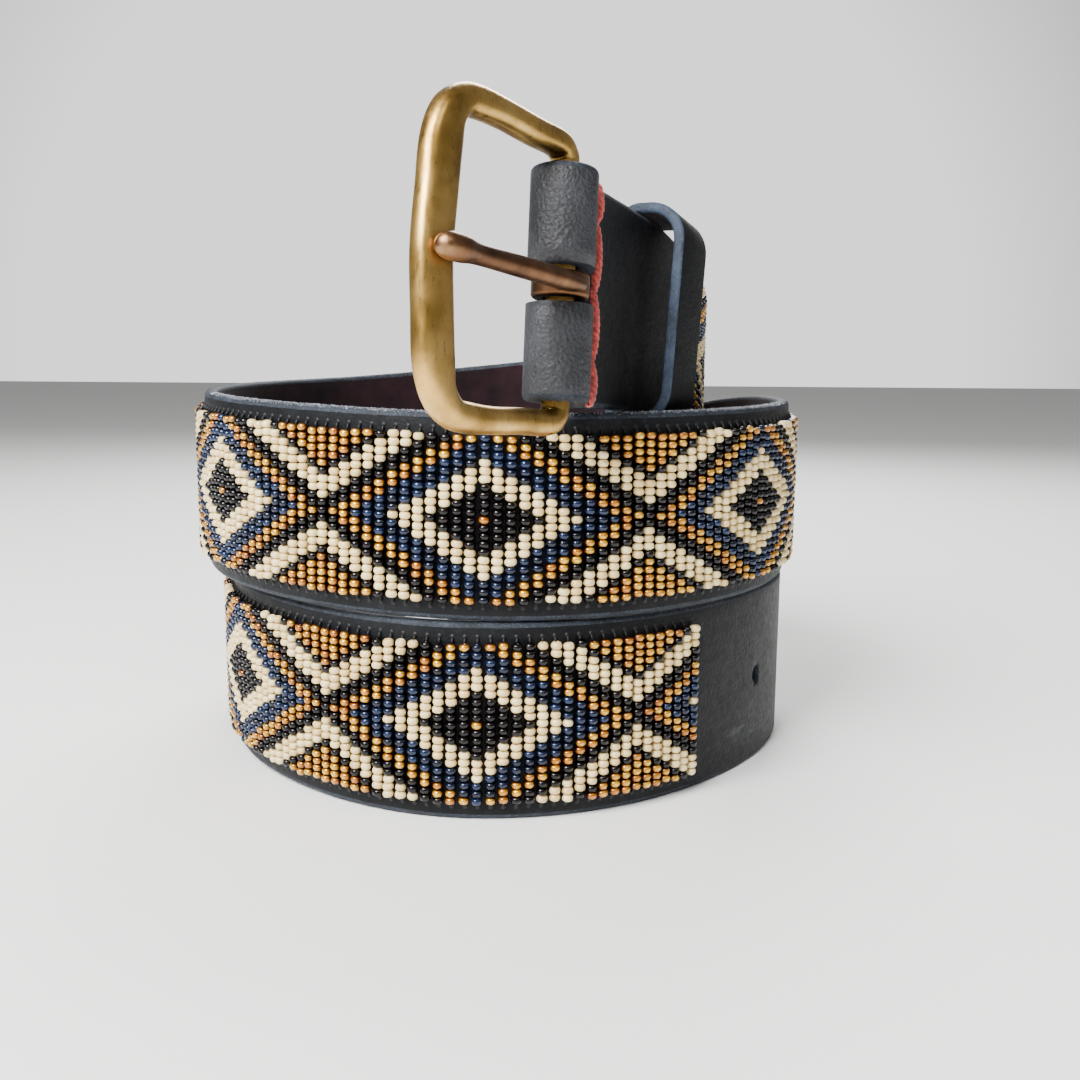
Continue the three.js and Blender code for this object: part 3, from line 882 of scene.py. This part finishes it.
ARM_AT = STRAP_WIDTH / 2 + SIDE_CLEARANCE + ARM_WIDTH / 2
OUTER_AT = WINDOW_LENGTH + OUTER_BAR_WIDTH / 2
BAR = (2 * BAR_RADIUS, 2 * BAR_RADIUS)
ARM = (ARM_WIDTH, FRAME_DEPTH)
SHOULDER = (ARM_WIDTH * 1.08, FRAME_DEPTH)
CORNER = ((ARM_WIDTH + OUTER_BAR_WIDTH) / 2, FRAME_DEPTH)
OUTER = (OUTER_BAR_WIDTH, FRAME_DEPTH)
FRAME_HALF = [(0, 0, BAR), (0, 0.3, BAR), (0, 0.86, BAR), (0.015, 0.96, BAR), (0.09, 1.02, ARM),
              (0.3, 1.03, ARM), (0.55, 1.05, ARM), (0.75, 1.05, SHOULDER), (0.87, 1.02, SHOULDER),
              (0.96, 0.9, CORNER), (1, 0.7, OUTER), (1.02, 0.4, OUTER), (1.04, 0, OUTER)]


def smooth_rows(rows, steps, closed):
    """More rows on a smooth curve through these rows."""
    rows = np.array(rows, float)
    count = len(rows)
    smooth = []
    for i in range(count if closed else count - 1):
        pick = [(i + k) % count if closed else min(max(i + k, 0), count - 1) for k in (-1, 0, 1, 2)]
        a, b, c, d = rows[pick]
        for t in np.arange(steps) / steps:
            smooth.append(0.5 * (2 * b + (c - a) * t + (2 * a - 5 * b + 4 * c - d) * t ** 2
                                 + (3 * b - a - 3 * c + d) * t ** 3))
    if not closed:
        smooth.append(rows[-1])
    return np.array(smooth)


half_rows = [(ahead * OUTER_AT, side * ARM_AT, width, depth) for ahead, side, (width, depth) in FRAME_HALF]
mirrored = [(a, -s, w, d) for a, s, w, d in half_rows[1:-1]][::-1]
frame_rows = smooth_rows(half_rows + mirrored, 8, closed=True)
print("frame sections:", len(frame_rows))

# %% Frame
FRAME_SIDES = 28
frame_points = []
for i, (ahead, side, width, depth) in enumerate(frame_rows):
    before, after = frame_rows[i - 1], frame_rows[(i + 1) % len(frame_rows)]
    run = unit(np.array([after[0] - before[0], after[1] - before[1]]))
    square = 1 - 0.2 * min(max(ahead / BAR_RADIUS, 0), 1)
    for a in np.linspace(0, 2 * math.pi, FRAME_SIDES, endpoint=False):
        flat = np.sign(math.cos(a)) * abs(math.cos(a)) ** square * width / 2
        deep = np.sign(math.sin(a)) * abs(math.sin(a)) ** square * depth / 2
        frame_points.append(buckle_point(deep, ahead + flat * run[1], side - flat * run[0]))
buckle = new_object("frame_brass", frame_points, ring_faces(len(frame_rows), FRAME_SIDES, True), [brass])
face_outwards(buckle)
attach(buckle, "frame")
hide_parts("buckle_frame")
print("frame faces:", len(buckle.data.polygons))

# %% [markdown]
# ### Pin
# The pin is a wire that tapers to a blunt, slightly swollen tip, and its eye turns on the frame's bar.

# %% Pin
ring_inner = BAR_RADIUS + PRONG_CLEARANCE
ring_outer = ring_inner + PRONG_RING_WALL
rest = FRAME_DEPTH / 2 + PRONG_CLEARANCE + PRONG_RADIUS
pin_end = OUTER_AT + OUTER_BAR_WIDTH / 2
PIN = [(0, ring_inner + PRONG_RADIUS * 0.85, PRONG_RADIUS * 0.8), (ring_outer, rest, PRONG_RADIUS),
       (OUTER_AT * 0.5, rest, PRONG_RADIUS), (OUTER_AT * 0.86, rest, PRONG_RADIUS * 0.95),
       (OUTER_AT, rest + 0.35, PRONG_TIP_RADIUS),
       (pin_end - PRONG_TIP_RADIUS * 0.4, rest + 0.25, PRONG_TIP_RADIUS),
       (pin_end + PRONG_TIP_RADIUS * 0.3, rest + 0.1, PRONG_TIP_RADIUS * 0.75),
       (pin_end + PRONG_TIP_RADIUS * 0.6, rest, PRONG_TIP_RADIUS * 0.3)]
pin_rows = smooth_rows(PIN, 8, closed=False)
PIN_SIDES = 24
pin_points = [buckle_point(height + radius * math.cos(a), ahead, radius * math.sin(a))
              for ahead, height, radius in pin_rows
              for a in np.linspace(0, 2 * math.pi, PIN_SIDES, endpoint=False)]
pin_faces = ring_faces(len(pin_rows), PIN_SIDES, False)
RING_STEPS = 48
eye_section = rounded_section(PRONG_RING_WALL / 2, PRONG_RING_WIDTH / 2, 0.9)
eye_start = len(pin_points)
for turn in np.linspace(0, 2 * math.pi, RING_STEPS, endpoint=False):
    for through, across in eye_section:
        radius = ring_inner + PRONG_RING_WALL / 2 + through
        pin_points.append(buckle_point(radius * math.cos(turn), radius * math.sin(turn), across))
pin_faces += [tuple(eye_start + k for k in face) for face in ring_faces(RING_STEPS, len(eye_section), True)]
pin = new_object("prong_bronze", pin_points, pin_faces, [bronze])
face_outwards(pin)
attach(pin, "prong")
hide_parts("buckle_prong")
print("pin faces:", len(pin.data.polygons))

# %% [markdown]
# ## Floor, light and camera
# A pale floor and large soft lights keep the background clean. The world is bright only straight behind the
# belt, so the leather has a dim room to reflect and stays black.

# %% Floor and world
stage_white, stage_shader = surface("matte_white_paper", roughness=0.9)
stage_shader.inputs["Base Color"].default_value = colour("#f4f4f2")
mesh = bpy.data.meshes.new("floor")
mesh.from_pydata([(-4, -4, 0), (4, -4, 0), (4, 4, 0), (-4, 4, 0)], [], [(0, 1, 2, 3)])
mesh.materials.append(stage_white)
floor = bpy.data.objects.new("floor", mesh)
bpy.context.scene.collection.objects.link(floor)

world = bpy.data.worlds.new("soft_studio")
world.use_nodes = True
background = world.node_tree.nodes["Background"]
background.inputs["Color"].default_value = (1, 1, 1, 1)
facing = add(world, "ShaderNodeTexCoord").outputs["Generated"]
backwards = add(world, "ShaderNodeSeparateXYZ", {0: facing}).outputs["Y"]
fade = add(world, "ShaderNodeMapRange", {"Value": backwards, "From Min": 0.82, "From Max": 0.93,
                                         "To Min": 0.26, "To Max": 1.5})
wire(world, fade.outputs["Result"], background.inputs["Strength"])
bpy.context.scene.world = world
print("world:", world.name)

# %% Lights
LIGHT_AIM = Vector((0, 0, 0.06))


def soft_light(name, where, size, power):
    data = bpy.data.lights.new(name, "AREA")
    data.size = size
    data.energy = power
    lamp = bpy.data.objects.new(name, data)
    lamp.location = where
    lamp.rotation_euler = (LIGHT_AIM - Vector(where)).to_track_quat("-Z", "Y").to_euler()
    bpy.context.scene.collection.objects.link(lamp)


soft_light("key", (-0.35, -0.45, 0.55), 0.4, 18)
soft_light("fill", (0.2, -0.6, 0.7), 0.3, 1.5)
soft_light("rim", (0.1, 0.6, 0.6), 0.4, 8)
print("lights:", len(bpy.data.lights))

# %% [markdown]
# ## Camera
# The camera stands in front of the roll and a little above it, with a slight roll of its own.

# %% Camera
SENSOR_WIDTH = 36
NEAREST = 0.01
FOCAL_PIXELS = 1155.06
IMAGE_PIXELS = 1080
CAMERA_PLACE = np.array((-0.971, -292.53, 90.40))
YAW, PITCH, ROLL = 0.0355, -0.1546, 0.008
forward = np.array((math.sin(YAW) * math.cos(PITCH), math.cos(YAW) * math.cos(PITCH), math.sin(PITCH)))
level = np.array((math.cos(YAW), -math.sin(YAW), 0))
upward = np.cross(level, forward)
right = level * math.cos(ROLL) + upward * math.sin(ROLL)
up = upward * math.cos(ROLL) - level * math.sin(ROLL)
camera_data = bpy.data.cameras.new("camera")
camera_data.sensor_width = SENSOR_WIDTH
camera_data.lens = FOCAL_PIXELS / IMAGE_PIXELS * SENSOR_WIDTH
camera_data.clip_start = NEAREST
camera = bpy.data.objects.new("camera", camera_data)
turned = Matrix((right, up, -forward)).transposed().to_4x4()
camera.matrix_world = Matrix.Translation(Vector((CAMERA_PLACE + SHIFT) * MM)) @ turned
bpy.context.scene.collection.objects.link(camera)
bpy.context.scene.camera = camera
print("lens:", round(camera_data.lens, 1), "mm")

# %% End
print("scene built")
